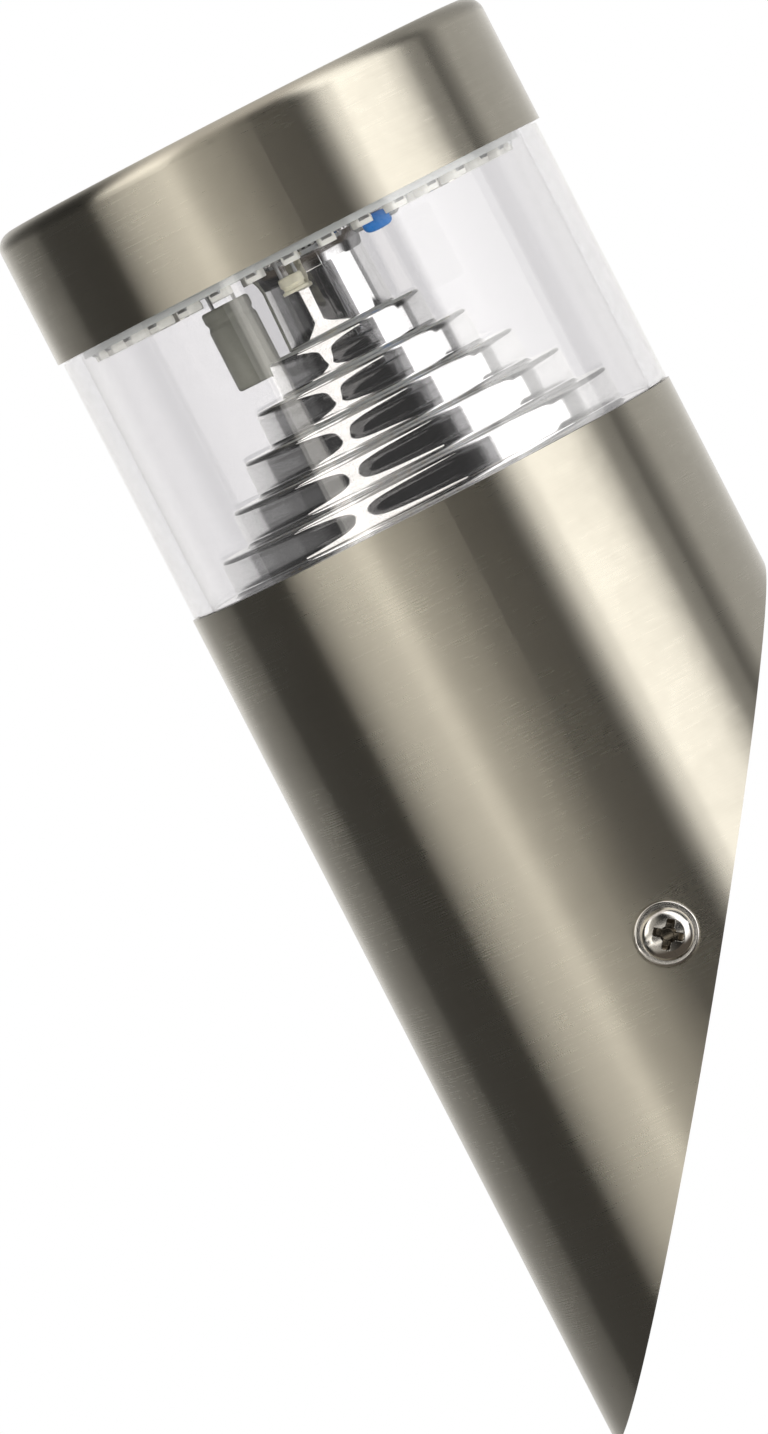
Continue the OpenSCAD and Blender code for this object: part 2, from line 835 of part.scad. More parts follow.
// Half section of the pan head: a short upright rim under a dome
module pan_head_profile() {
    r = head_d / 2;
    dome = head_h - head_rim;
    dome_r = (r * r + dome * dome) / (2 * dome);
    intersection() {
        square([r, head_h]);
        translate([0, head_h - dome_r]) circle(r = dome_r, $fn = 2 * fine);
    }
}

module side_screw_right() {
    side_screw();
}

module side_screw_left() {
    mirror([1, 0, 0]) side_screw();
}

module side_washers() {
    x0 = tube_r - seat_deep;
    color("silver") both_sides() at_side_screw() difference() {
        rod_x(side_washer_d / 2, x0, x0 + side_washer_t);
        rod_x(shank_r + shank_clear, x0 - past, x0 + side_washer_t + past);
    }
}

// Square nuts inside the ears, kept from turning by the lips
module square_nuts() {
    x1 = ear_x - strap_t - nut_gap;
    color("silver") both_sides() at_side_screw() difference() {
        translate([x1 - square_nut_t, -square_nut_w / 2, -square_nut_w / 2])
            cube([square_nut_t, square_nut_w, square_nut_w]);
        rod_x(shank_r + nut_play, x1 - square_nut_t - past, x1 + past);
    }
}

wall_bracket();
cable_grommet();
earth_screw();
body_tube();
mounting_plate();
lower_seal();
lens();
upper_seal();
reflector();
threaded_rod();
rod_washers();
rod_nuts();
circuit_board();
leds();
reservoir_capacitor();
resistor();
suppressor();
bridge_rectifier();
dropper_capacitor();
board_carrier();
board_screws();
cap_adhesive();
top_cap();
terminal_block();
terminal_clamps();
terminal_screws();
block_screw();
live_lead();
neutral_lead();
earth_lead();
earth_lug();
side_screw_right();
side_screw_left();
side_washers();
square_nuts();
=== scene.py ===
import math

import bmesh
import bpy
from mathutils import Matrix, Vector


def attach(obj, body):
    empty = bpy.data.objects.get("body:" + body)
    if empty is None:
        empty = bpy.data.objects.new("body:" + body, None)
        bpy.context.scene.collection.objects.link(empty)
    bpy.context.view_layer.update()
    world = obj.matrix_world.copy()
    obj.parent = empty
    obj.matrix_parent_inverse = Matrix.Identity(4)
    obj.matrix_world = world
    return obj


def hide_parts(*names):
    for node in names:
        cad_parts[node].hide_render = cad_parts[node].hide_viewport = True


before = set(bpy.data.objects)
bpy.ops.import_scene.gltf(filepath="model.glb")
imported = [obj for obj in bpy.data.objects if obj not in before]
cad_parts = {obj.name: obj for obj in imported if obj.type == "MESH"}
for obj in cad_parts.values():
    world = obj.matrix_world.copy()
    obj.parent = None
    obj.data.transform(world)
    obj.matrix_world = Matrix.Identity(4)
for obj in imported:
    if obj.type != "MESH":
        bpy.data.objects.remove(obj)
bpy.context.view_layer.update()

# The lamp's own frame: its axis leans out from a foot on the wall. The side screws stand on it,
# SCREW_UP above the foot, and their height is the row frame's zero. Lengths are in millimetres,
# as in the part, but for the bumps and noises of the materials, the lamps, floor and camera,
# which go by the metre.
MM = 0.001
TILT = math.radians(36.7)
SIN, COS = math.sin(TILT), math.cos(TILT)
SCREW_UP = 13.1
AXIS_Z = -SCREW_UP * COS
AXIS = (0.0, -SIN, COS)
ACROSS = (0.0, COS, SIN)

# The reflector's floor and the board's lower face, as heights along the axis
Z_FLOOR, Z_BOARD = 80.82, 120.72
# The can's place on the board, and the middle and half width of its stripe, in degrees round it
CAN_X, CAN_Y, STRIPE_AT, STRIPE_HALF = -11.0, -13.3, 14.0, 18.0
# The side screws' heads: place, height, how fast the dome falls, and the radius of the recess
SCREW_Y, HEAD_X, HEAD_H, DOME, RECESS_R = -SCREW_UP * SIN, 38.35, 2.6, 0.036, 2.25


def lamp_point(x, y, z):
    """A point in the lamp's frame, in millimetres, as a point in the row frame, in metres."""
    return Vector((x, y * COS - z * SIN, AXIS_Z + y * SIN + z * COS)) * MM


def angles(count, shift=0.0):
    """Evenly spaced angles of a full turn, in radians, moved on by a share of their spacing."""
    return [2 * math.pi * (i + shift) / count for i in range(count)]


# ---------------------------------------------------------------- shader building

class Nodes:
    """A node tree with short calls for adding nodes and linking them."""

    def __init__(self, tree):
        self.tree = tree
        tree.nodes.clear()

    def add(self, kind, props=None, **inputs):
        """A node with its properties and inputs set. An input i0, i1 or i2 goes by its number."""
        node = self.tree.nodes.new(kind)
        for key, value in (props or {}).items():
            setattr(node, key, value)
        for key, value in inputs.items():
            name = key.replace("_", " ")
            socket = node.inputs[int(key[1:])] if key[1:].isdigit() else node.inputs[name]
            self.put(socket, value)
        return node

    def put(self, socket, value):
        if isinstance(value, bpy.types.NodeSocket):
            self.tree.links.new(value, socket)
        elif isinstance(value, bpy.types.Node):
            self.tree.links.new(value.outputs[0], socket)
        else:
            socket.default_value = value

    def math(self, operation, a, b=None):
        inputs = {"i0": a} if b is None else {"i0": a, "i1": b}
        return self.add("ShaderNodeMath", {"operation": operation}, **inputs).outputs[0]

    def total(self, *terms):
        """The sum of products: each term is a pair of a socket and its weight."""
        parts = [self.math("MULTIPLY", value, weight) for value, weight in terms]
        while len(parts) > 1:
            last = parts.pop()
            parts[-1] = self.math("ADD", parts[-1], last)
        return parts[0]

    def vector(self, operation, a, b=None):
        inputs = {"i0": a} if b is None else {"i0": a, "i1": b}
        node = self.add("ShaderNodeVectorMath", {"operation": operation}, **inputs)
        return node.outputs["Value" if operation == "DOT_PRODUCT" else "Vector"]

    def ramp(self, factor, stops):
        """A colour ramp through pairs of place and colour."""
        node = self.add("ShaderNodeValToRGB", None, Fac=factor)
        ramp = node.color_ramp
        while len(ramp.elements) > 1:
            ramp.elements.remove(ramp.elements[-1])
        for i, (place, colour) in enumerate(stops):
            element = ramp.elements[0] if i == 0 else ramp.elements.new(place)
            element.position = place
            element.color = (*colour, 1.0)
        return node.outputs["Color"]

    def blend(self, factor, a, b):
        """Colour a where the factor is 0, and b where it is 1."""
        node = self.add("ShaderNodeMix", {"data_type": "RGBA"})
        for socket, value in (("Factor_Float", factor), ("A_Color", a), ("B_Color", b)):
            target = next(s for s in node.inputs if s.identifier == socket)
            if isinstance(value, tuple) and len(value) == 3:
                value = (*value, 1.0)
            self.put(target, value)
        return next(s for s in node.outputs if s.identifier == "Result_Color")

    def span(self, value, low, high, to_low=0.0, to_high=1.0):
        """A smooth step from to_low to to_high, as the value goes from low to high."""
        node = self.add("ShaderNodeMapRange", {"interpolation_type": "SMOOTHSTEP"})
        for i, v in enumerate((value, low, high, to_low, to_high)):
            self.put(node.inputs[i], v)
        return node.outputs[0]


def new_material(name):
    material = bpy.data.materials.new(name)
    material.use_nodes = True
    return material, Nodes(material.node_tree)


def surface(nodes, **sockets):
    """The Principled shader with its output. Uniform values stay on its own sockets."""
    names = {
        "colour": "Base Color", "rough": "Roughness", "metal": "Metallic", "ior": "IOR",
        "normal": "Normal", "clear": "Transmission Weight", "coat": "Coat Weight",
        "coat_rough": "Coat Roughness", "level": "Specular IOR Level", "tangent": "Tangent",
        "aniso": "Anisotropic", "under": "Subsurface Weight", "under_scale": "Subsurface Scale",
    }
    shader = nodes.add("ShaderNodeBsdfPrincipled")
    for key, value in sockets.items():
        if key == "colour" and isinstance(value, tuple):
            value = (*value, 1.0)
        nodes.put(shader.inputs[names[key]], value)
    nodes.add("ShaderNodeOutputMaterial", None, Surface=shader)


def lamp_coordinates(nodes):
    """Vector from the foot of the lamp's axis, as it is and turned so that Z runs along it."""
    place = nodes.add("ShaderNodeTexCoord").outputs["Object"]
    foot = nodes.vector("SUBTRACT", place, (0.0, 0.0, AXIS_Z * MM))
    turned = nodes.add(
        "ShaderNodeVectorRotate", {"rotation_type": "X_AXIS"}, Vector=foot, Angle=-TILT
    )
    return foot, turned.outputs[0]


def noise(nodes, vector, scale, detail=2.0, roughness=0.5):
    return nodes.add(
        "ShaderNodeTexNoise", None,
        Vector=vector, Scale=scale, Detail=detail, Roughness=roughness,
    ).outputs[0]


def bump(nodes, height, depth, **below):
    return nodes.add(
        "ShaderNodeBump", None, Strength=1.0, Distance=depth, Height=height, **below).outputs[0]


def brushed_steel(name, light, dark, rough, grain_depth):
    """Stainless steel ground round the lamp's axis, with long fine scratches and soft mottle."""
    material, nodes = new_material(name)
    foot, local = lamp_coordinates(nodes)
    x, y, z = nodes.add("ShaderNodeSeparateXYZ", None, Vector=local).outputs
    radius = nodes.math("SQRT", nodes.total((x, x), (y, y)))
    # Scratches per metre across the grain, and changes per metre along it
    line, streak = 9000.0, 90.0
    grain_at = nodes.add(
        "ShaderNodeCombineXYZ", None,
        X=nodes.total((radius, line), (x, streak)),
        Y=nodes.total((z, line), (y, streak)),
        Z=nodes.math("MULTIPLY", nodes.math("SUBTRACT", x, y), streak),
    ).outputs[0]
    grain = noise(nodes, grain_at, 1.0, 4.0, 0.65)
    mottle = noise(nodes, local, 420.0, 3.0, 0.6)
    cloud = noise(nodes, local, 60.0, 2.0, 0.5)
    tone = nodes.total((grain, 0.45), (mottle, 0.2), (cloud, 0.35))
    colour = nodes.ramp(tone, [(0.3, dark), (0.7, light)])
    roughness = nodes.span(tone, 0.3, 0.7, rough + 0.03, rough - 0.03)
    grind = nodes.vector("CROSS_PRODUCT", AXIS, foot)
    face = nodes.add("ShaderNodeNewGeometry").outputs["Normal"]
    along = nodes.vector("NORMALIZE", nodes.vector("CROSS_PRODUCT", face, grind))
    surface(
        nodes, colour=colour, metal=1.0, rough=roughness, aniso=1.0, tangent=along,
        normal=bump(nodes, grain, grain_depth),
    )
    return material


def clear_plastic(name, colour, rough, depth):
    """Clear moulded plastic, with a polished surface and the faint waviness of a moulding."""
    material, nodes = new_material(name)
    _, local = lamp_coordinates(nodes)
    wave = noise(nodes, local, 90.0, 1.0)
    surface(
        nodes, colour=colour, clear=1.0, ior=1.49, level=1.0, rough=rough,
        coat=1.0, coat_rough=0.0, normal=bump(nodes, wave, depth),
    )
    return material


def recess_painted_shade(nodes, place):
    """How far a point lies down in the cross recess of a side screw, from 0 to 1: the mask of the
    painted shade in the recess.
    """
    x, y, z = nodes.add("ShaderNodeSeparateXYZ", None, Vector=place).outputs
    y = nodes.math("SUBTRACT", y, SCREW_Y * MM)
    square = nodes.total((y, y), (z, z))
    fall = nodes.math("MULTIPLY", square, DOME / MM)
    dome = nodes.math("SUBTRACT", (HEAD_X + HEAD_H) * MM, fall)
    deep = nodes.math("SUBTRACT", dome, nodes.math("ABSOLUTE", x))
    near = nodes.math("LESS_THAN", square, (RECESS_R * MM) ** 2)
    return nodes.math("MULTIPLY", near, nodes.span(deep, 0.1 * MM, 0.6 * MM))


def bright_metal(name, colour, rough, wave_depth, pit_depth=0.0, recess=False):
    """Smooth reflecting metal or metallised plastic, with a slight orange peel; with recess set,
    painted shade darkens a side screw's cross recess.
    """
    material, nodes = new_material(name)
    place = nodes.add("ShaderNodeTexCoord").outputs["Object"]
    wave = noise(nodes, place, 350.0, 2.0)
    pit = noise(nodes, place, 4200.0, 2.0)
    normal = bump(nodes, pit, pit_depth, Normal=bump(nodes, wave, wave_depth))
    shade = tuple(0.86 * c for c in colour)
    tint = nodes.ramp(pit, [(0.3, shade), (0.7, colour)])
    if recess:
        # Painted shade: the colour goes dark brown the deeper a point lies in the cross recess
        tint = nodes.blend(recess_painted_shade(nodes, place), tint, (0.2, 0.175, 0.14))
    surface(
        nodes, metal=1.0, normal=normal, colour=tint,
        rough=nodes.span(wave, 0.3, 0.7, rough * 0.8, rough * 1.3),
    )
    return material


def moulded(name, colour, rough, grain=2600.0, depth=0.000006, shade=0.85, under=0.0, coat=0.0):
    """Moulded plastic, rubber or lacquer, with fine grain and a slow change of tone."""
    material, nodes = new_material(name)
    place = nodes.add("ShaderNodeTexCoord").outputs["Object"]
    fine = noise(nodes, place, grain, 3.0, 0.6)
    slow = noise(nodes, place, 140.0, 2.0)
    tone = nodes.total((fine, 0.5), (slow, 0.5))
    dark = tuple(shade * c for c in colour)
    surface(
        nodes, colour=nodes.ramp(tone, [(0.32, dark), (0.68, colour)]),
        rough=nodes.span(fine, 0.3, 0.7, rough + 0.06, rough - 0.06),
        normal=bump(nodes, fine, depth), under=under, under_scale=0.001, coat=coat,
        coat_rough=0.1,
    )
    return material


def striped_sleeve(name, colour, stripe, rough):
    """Shrunk sleeve of the reservoir capacitor, with a plain pale stripe along one side."""
    material, nodes = new_material(name)
    _, local = lamp_coordinates(nodes)
    x, y, _ = nodes.add("ShaderNodeSeparateXYZ", None, Vector=local).outputs
    turn = nodes.math(
        "ARCTAN2", nodes.math("SUBTRACT", y, CAN_Y * MM), nodes.math("SUBTRACT", x, CAN_X * MM))
    around = nodes.math("MULTIPLY", turn, math.degrees(1.0))
    aside = nodes.math("ABSOLUTE", nodes.math("SUBTRACT", around, STRIPE_AT))
    fine = noise(nodes, local, 900.0, 3.0, 0.6)
    slow = noise(nodes, local, 160.0, 2.0)
    tone = nodes.total((fine, 0.5), (slow, 0.5))
    body = nodes.ramp(tone, [(0.32, tuple(0.85 * c for c in colour)), (0.68, colour)])
    pale = nodes.ramp(tone, [(0.32, tuple(0.9 * c for c in stripe)), (0.68, stripe)])
    surface(
        nodes, colour=nodes.blend(nodes.span(aside, STRIPE_HALF + 3.0, STRIPE_HALF), body, pale),
        rough=nodes.span(fine, 0.3, 0.7, rough + 0.06, rough - 0.06),
        normal=bump(nodes, slow, 0.00003),
    )
    return material


MATERIALS = {
    "brushed_stainless": brushed_steel(
        "brushed_stainless", (0.64, 0.604, 0.52), (0.59, 0.555, 0.475), 0.29, 0.0000007),
    "clear_lens": clear_plastic("clear_lens", (0.965, 0.96, 0.965), 0.0, 0.0000006),
    "bright_reflector": bright_metal("bright_reflector", (0.93, 0.93, 0.94), 0.03, 0.000001),
    # The side screws' metal, with painted shade in the cross recess
    "bright_screw": bright_metal(
        "bright_screw", (0.8, 0.77, 0.73), 0.14, 0.000002, 0.0000004, recess=True),
    "zinc_steel": bright_metal("zinc_steel", (0.66, 0.67, 0.68), 0.36, 0.00001, 0.000006),
    "brass": bright_metal("brass", (0.78, 0.6, 0.3), 0.28, 0.00001, 0.000004),
    "board": moulded("board", (0.78, 0.8, 0.78), 0.4, 1800.0, 0.000003, 0.93, coat=0.3),
    "led_package": moulded("led_package", (0.93, 0.92, 0.86), 0.45, 3000.0, 0.000003, 0.95),
    "capacitor_sleeve": striped_sleeve(
        "capacitor_sleeve", (0.34, 0.34, 0.295), (0.46, 0.46, 0.41), 0.42),
    "resistor_blue": moulded("resistor_blue", (0.04, 0.28, 0.82), 0.3, 1600.0),
    "suppressor_cream": moulded(
        "suppressor_cream", (0.88, 0.84, 0.67), 0.4, 1900.0, 0.00001, 0.8),
    "black_plastic": moulded("black_plastic", (0.03, 0.03, 0.032), 0.42),
    "film_yellow": moulded("film_yellow", (0.72, 0.46, 0.1), 0.3),
    "white_plastic": moulded("white_plastic", (0.82, 0.81, 0.77), 0.45, 2200.0, 0.000006, 0.93),
    "silicone": moulded("silicone", (0.82, 0.82, 0.8), 0.35, 1500.0, 0.00001, 0.95, under=0.3),
    "sealant": moulded("sealant", (0.3, 0.3, 0.3), 0.5, 700.0, 0.00003),
    "black_rubber": moulded("black_rubber", (0.028, 0.028, 0.03), 0.6, 1300.0, 0.00002),
    "brown_wire": moulded("brown_wire", (0.2, 0.09, 0.045), 0.38, 900.0, 0.00001),
    "blue_wire": moulded("blue_wire", (0.05, 0.17, 0.5), 0.38, 900.0, 0.00001),
    "green_wire": moulded("green_wire", (0.12, 0.4, 0.07), 0.38, 900.0, 0.00001),
}

# The CAD's own pieces take these materials. The lens lets the lamps in, so it casts no shadow.
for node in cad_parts.values():
    for entry in node.material_slots:
        entry.material = MATERIALS[entry.material.name.split(".")[0]]
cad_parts["lens"].visible_shadow = False


# ---------------------------------------------------------------- light

def studio_world():
    """The studio as bands round the lamp's axis: soft boxes, dark flags and a white sweep."""
    world = bpy.data.worlds.new("studio")
    bpy.context.scene.world = world
    world.use_nodes = True
    nodes = Nodes(world.node_tree)
    ray = nodes.add("ShaderNodeTexCoord").outputs["Generated"]
    toward = nodes.vector("DOT_PRODUCT", ray, (1.0, 0.0, 0.0))
    across = nodes.vector("DOT_PRODUCT", ray, ACROSS)
    along = nodes.vector("DOT_PRODUCT", ray, AXIS)
    turn = nodes.math("DIVIDE", nodes.math("ARCTAN2", across, toward), math.radians(360.0))
    rise = nodes.math("MULTIPLY", nodes.math("ARCSINE", along), math.degrees(1.0))
    steep = nodes.math("ABSOLUTE", rise)
    place = nodes.math("ADD", turn, 0.5)

    def bands_of(stops, tint=(1.0, 0.99, 0.97)):
        """Light by its turn round the axis, from pairs of degrees and brightness."""
        return nodes.ramp(place, [
            (degrees / 360.0 + 0.5, tuple(value * part for part in tint))
            for degrees, value in stops
        ])

    # What the walls of the steps see, level with the lamp
    level = bands_of([
        (-180, 0.95), (-160, 0.9), (-133, 0.8), (-119, 0.64), (-115, 0.22), (-78, 0.19),
        (-76, 0.13), (-64, 0.12), (-56, 0.05), (20, 0.04), (31, 0.06), (35, 0.35), (40, 0.45),
        (42, 2.3), (62, 2.2), (90, 1.6), (92, 0.36), (102, 0.42), (107, 0.92), (180, 0.95),
    ])
    # What the brushed tube sees besides, above and below that
    bands = bands_of([
        (-180, 0.75), (-168, 0.65), (-160, 0.3), (-148, 0.08), (-125, 0.04), (-84, 0.03),
        (-60, 0.03), (14, 0.02), (25, 0.04), (31, 0.6), (38, 2.2), (46, 1.7), (68, 1.5),
        (78, 0.3), (84, 0.05), (96, 0.05), (107, 0.42), (148, 0.36), (160, 0.45), (168, 0.65),
        (180, 0.75),
    ])
    # The level light goes over into the bands some degrees up and down, and sooner behind the lamp
    round_by = nodes.math("MULTIPLY", turn, 360.0)
    behind = nodes.math(
        "MAXIMUM", nodes.span(round_by, -60.0, -66.0), nodes.span(round_by, 76.0, 84.0))
    height = nodes.math("MULTIPLY", steep, nodes.math(
        "ADD", nodes.math("MULTIPLY", behind, 1.8), 1.0))
    bands = nodes.blend(nodes.span(height, 7.0, 12.0), level, bands)

    # A panel left of the camera: a narrow strip at the lamp's own height, wider above and below.
    # Its half width grows with the rise and with the cube of the rise.
    panel_at, panel_from, panel_to = -38.0, -79.0, 20.0
    half_level, half_slope, half_cube, soft_edge = 4.0, 1.2, 0.114, 1.2
    panel = bands_of([
        (-80, 0.02), (-74, 0.04), (-66, 0.27), (-60, 0.45), (-38, 0.5), (-26, 0.45), (-13, 0.33),
        (0, 0.07), (8, 0.02)], (1.0, 0.96, 0.87))
    far_left = nodes.math(
        "MULTIPLY", nodes.span(rise, 16.0, 22.0), nodes.span(round_by, -34.0, -42.0))
    panel = nodes.blend(far_left, panel, (1.9, 1.85, 1.75))
    panel = nodes.blend(nodes.span(steep, 9.5, 7.5), panel, (1.65, 1.6, 1.5))
    away = nodes.math("ABSOLUTE", nodes.math("SUBTRACT", round_by, panel_at))
    cube = nodes.math("MULTIPLY", nodes.math("POWER", steep, 3.0), half_cube)
    half = nodes.math("ADD", cube, nodes.math(
        "ADD", nodes.math("MULTIPLY", steep, half_slope), half_level))
    within = nodes.math("MULTIPLY", nodes.math("GREATER_THAN", round_by, panel_from),
                        nodes.math("LESS_THAN", round_by, panel_to))
    strip = nodes.math("MULTIPLY", within, nodes.span(
        nodes.math("SUBTRACT", half, away), 0.0, soft_edge))
    lit = nodes.blend(strip, bands, panel)
    # A pale ceiling and a dim floor
    lit = nodes.blend(nodes.span(rise, 50.0, 75.0), lit, (0.85, 0.81, 0.77))
    lit = nodes.blend(nodes.span(rise, -16.0, -40.0), lit, (0.1, 0.085, 0.07))

    # What the camera sees, directly or through a wall of the lens, is the white sweep
    path = nodes.add("ShaderNodeLightPath").outputs
    bounced = nodes.math("ADD", path["Glossy Depth"], path["Diffuse Depth"])
    edgewise = nodes.math("MULTIPLY", nodes.math("LESS_THAN", toward, 0.0),
                          nodes.math("LESS_THAN", path["Transmission Depth"], 2.5))
    straight = nodes.math("MAXIMUM", nodes.math("LESS_THAN", bounced, 0.5), edgewise)
    through = nodes.math("MULTIPLY", path["Is Transmission Ray"], straight)
    seen = nodes.math("MAXIMUM", path["Is Camera Ray"], through)
    sweep = nodes.blend(path["Is Camera Ray"], (0.85, 0.84, 0.85), (1.0, 1.0, 1.0))
    colour = nodes.blend(seen, lit, sweep)
    background = nodes.add("ShaderNodeBackground", None, Color=colour, Strength=1.0)
    nodes.add("ShaderNodeOutputWorld", None, Surface=background)


def soft_lamp(name, place, size, power):
    """An area lamp for soft form and shadow. The bands in the metal come from the world."""
    lamp_middle = Vector((0.0, -0.05, 0.05))
    data = bpy.data.lights.new(name, "AREA")
    data.shape = "RECTANGLE"
    data.size = data.size_y = size
    data.energy = power
    lamp = bpy.data.objects.new(name, data)
    bpy.context.collection.objects.link(lamp)
    lamp.location = place
    lamp.rotation_mode = "QUATERNION"
    lamp.rotation_quaternion = (lamp_middle - Vector(place)).to_track_quat("-Z", "Y")
    lamp.visible_glossy = False
    lamp.visible_transmission = False
    lamp.visible_camera = False


def pale_floor(height, reach):
    """A plain pale floor below the lamp: white to the camera, with the lamp's soft shadow."""
    own_light = 0.55
    mesh = bpy.data.meshes.new("floor")
    corners = [(-reach, -reach, height), (reach, -reach, height),
               (reach, reach, height), (-reach, reach, height)]
    mesh.from_pydata(corners, [], [(0, 1, 2, 3)])
    floor = bpy.data.objects.new("floor", mesh)
    bpy.context.collection.objects.link(floor)
    material, nodes = new_material("floor_pale")
    path = nodes.add("ShaderNodeLightPath").outputs
    base = nodes.add("ShaderNodeBsdfDiffuse", None, Color=(0.8, 0.8, 0.8, 1.0))
    glow = nodes.add("ShaderNodeEmission", None, Color=(1.0, 1.0, 1.0, 1.0),
                     Strength=nodes.math("MULTIPLY", path["Is Camera Ray"], own_light))
    both = nodes.add("ShaderNodeAddShader", None, i0=base.outputs[0], i1=glow.outputs[0])
    # Glass and metal see the white sweep in its place
    beyond = nodes.math("MAXIMUM", path["Is Transmission Ray"], path["Is Glossy Ray"])
    clear = nodes.add("ShaderNodeBsdfTransparent")
    mixed = nodes.add(
        "ShaderNodeMixShader", None, i0=beyond, i1=both.outputs[0], i2=clear.outputs[0])
    nodes.add("ShaderNodeOutputMaterial", None, Surface=mixed)
    mesh.materials.append(material)
    floor.visible_glossy = False


def photo_camera():
    """The camera fitted to the photo: far off on the lamp's right, a little above, and rolled."""
    data = bpy.data.cameras.new("photo_camera")
    data.sensor_fit = "AUTO"
    data.sensor_width = 36.0
    data.lens = 251.54
    data.clip_start, data.clip_end = 0.05, 50.0
    camera = bpy.data.objects.new("photo_camera", data)
    bpy.context.collection.objects.link(camera)
    azimuth, elevation, roll = math.radians(87.32), math.radians(1.069), math.radians(9.455)
    back = Vector((
        math.sin(azimuth) * math.cos(elevation),
        -math.cos(azimuth) * math.cos(elevation),
        math.sin(elevation),
    ))
    level = (-back).cross(Vector((0, 0, 1))).normalized()
    upright = level.cross(-back)
    right = math.cos(roll) * level + math.sin(roll) * upright
    up = math.cos(roll) * upright - math.sin(roll) * level
    aim, distance = Vector((-0.000578, -0.049668, 0.022502)), 1.424852
    turn = Matrix((right, up, back)).transposed().to_4x4()
    camera.matrix_world = Matrix.Translation(aim + distance * back) @ turn
    bpy.context.scene.camera = camera


bpy.context.scene.view_settings.view_transform = "Standard"
photo_camera()
studio_world()
soft_lamp("key_lamp", (0.5, -0.7, 0.9), 0.7, 16.0)
soft_lamp("fill_lamp", (0.8, 0.85, -0.05), 0.6, 5.0)
soft_lamp("front_lamp", (1.2, -0.3, -0.05), 0.7, 9.0)
pale_floor(-0.125, 0.3)


# ---------------------------------------------------------------- added pieces

def rings_mesh(rings, loop=False):
    """A skin, as points and faces, over rings of equally many points, with poles at its ends."""
    count = len(rings[0])
    verts = [Vector(p) for ring in rings for p in ring]
    faces = []
    pairs = list(zip(range(len(rings) - 1), range(1, len(rings))))
    if loop:
        pairs.append((len(rings) - 1, 0))
    for a, b in pairs:
        for i in range(count):
            j = (i + 1) % count
            faces.append((a * count + i, a * count + j, b * count + j, b * count + i))
    if not loop:
        for k in (0, len(rings) - 1):
            pole = sum(verts[k * count:(k + 1) * count], Vector()) / count
            verts.append(pole)
            for i in range(count):
                faces.append((k * count + i, k * count + (i + 1) % count, len(verts) - 1))
    return verts, faces


def join_skins(skins):
    """One skin of several."""
    verts, faces = [], []
    for skin_verts, skin_faces in skins:
        base = len(verts)
        verts.extend(skin_verts)
        faces.extend(tuple(base + i for i in face) for face in skin_faces)
    return verts, faces


def mesh_piece(name, skin, material, body="lamp", sharp=40.0):
    """An object of closed skins, shaded smooth but for its sharp edges, that rides on a body."""
    verts, faces = skin
    mesh = bpy.data.meshes.new(name)
    mesh.from_pydata([tuple(v) for v in verts], [], faces)
    work = bmesh.new()
    work.from_mesh(mesh)
    bmesh.ops.recalc_face_normals(work, faces=work.faces)
    work.to_mesh(mesh)
    work.free()
    mesh.polygons.foreach_set("use_smooth", [True] * len(mesh.polygons))
    mesh.set_sharp_from_angle(angle=math.radians(sharp))
    mesh.materials.append(MATERIALS[material])
    piece = bpy.data.objects.new(name, mesh)
    bpy.context.collection.objects.link(piece)
    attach(piece, body)
    return piece


def circle_points(r, z, count, x=0.0, y=0.0):
    """A ring round a line along the lamp, in its frame."""
    return [lamp_point(x + r * math.cos(a), y + r * math.sin(a), z) for a in angles(count)]


def lathe(profile, count, x=0.0, y=0.0, loop=False):
    """A skin turned from pairs of radius and height, round a line along the lamp."""
    return rings_mesh([circle_points(r, z, count, x, y) for r, z in profile], loop)


def lead_pair(x, y, half, profile):
    """A skin of two straight leads, turned from a profile, at both sides of a place."""
    return join_skins([lathe(profile, 16, x, y + side * half) for side in (-1, 1)])


def rounded(path):
    """Points of a path of (radius, height, rounding) with each corner turned into an arc."""
    degrees_apart = 9.0
    points = []
    for i, (r, z, turn) in enumerate(path):
        if turn <= 0 or i in (0, len(path) - 1):
            points.append((r, z))
            continue
        here = Vector((r, z))
        into = (Vector(path[i - 1][:2]) - here).normalized()
        out = (Vector(path[i + 1][:2]) - here).normalized()
        half = math.acos(max(-1.0, min(1.0, into.dot(out)))) / 2
        middle = here + (into + out).normalized() * turn / math.sin(half)
        start, end = here + into * turn / math.tan(half), here + out * turn / math.tan(half)
        a0 = math.atan2(*(start - middle).yx)
        a1 = math.atan2(*(end - middle).yx)
        sweep = (a1 - a0 + math.pi) % (2 * math.pi) - math.pi
        count = max(2, math.ceil(abs(math.degrees(sweep)) / degrees_apart))
        for k in range(count + 1):
            a = a0 + sweep * k / count
            points.append((middle.x + turn * math.cos(a), middle.y + turn * math.sin(a)))
    return points


# The stepped reflector, with a flared neck, rounded edges and faintly barrelled walls
STEP_COUNT, STEP_H, STEP_R, STEP_GROW, STEP_EDGE = 5, 5.5, 12.0, 4.65, 0.7
Z_STEPS = Z_FLOOR + STEP_COUNT * STEP_H
FLOOR_R, SHELL, SKIRT_LOW = 34.6, 1.2, 73.72
WALL_STEP, FOOT_IN = 0.25, 0.08


def wall_lean(down, barrel):
    """A step's wall leans out by this much, in degrees, at a depth below the step's edge."""
    barrelled, upright_at, straight = 2.7, 3.3, 2.0
    flare, edge_at, foot_at, reach = 3.0, 0.7, 4.8, 1.6
    lean = barrelled * barrel * (1 - down / upright_at) + straight * (1 - barrel)
    at_edge = max(0.0, 1 - (down - edge_at) / reach)
    at_foot = max(0.0, 1 - (foot_at - down) / reach)
    return lean + flare * (at_edge ** 2 - at_foot ** 2)


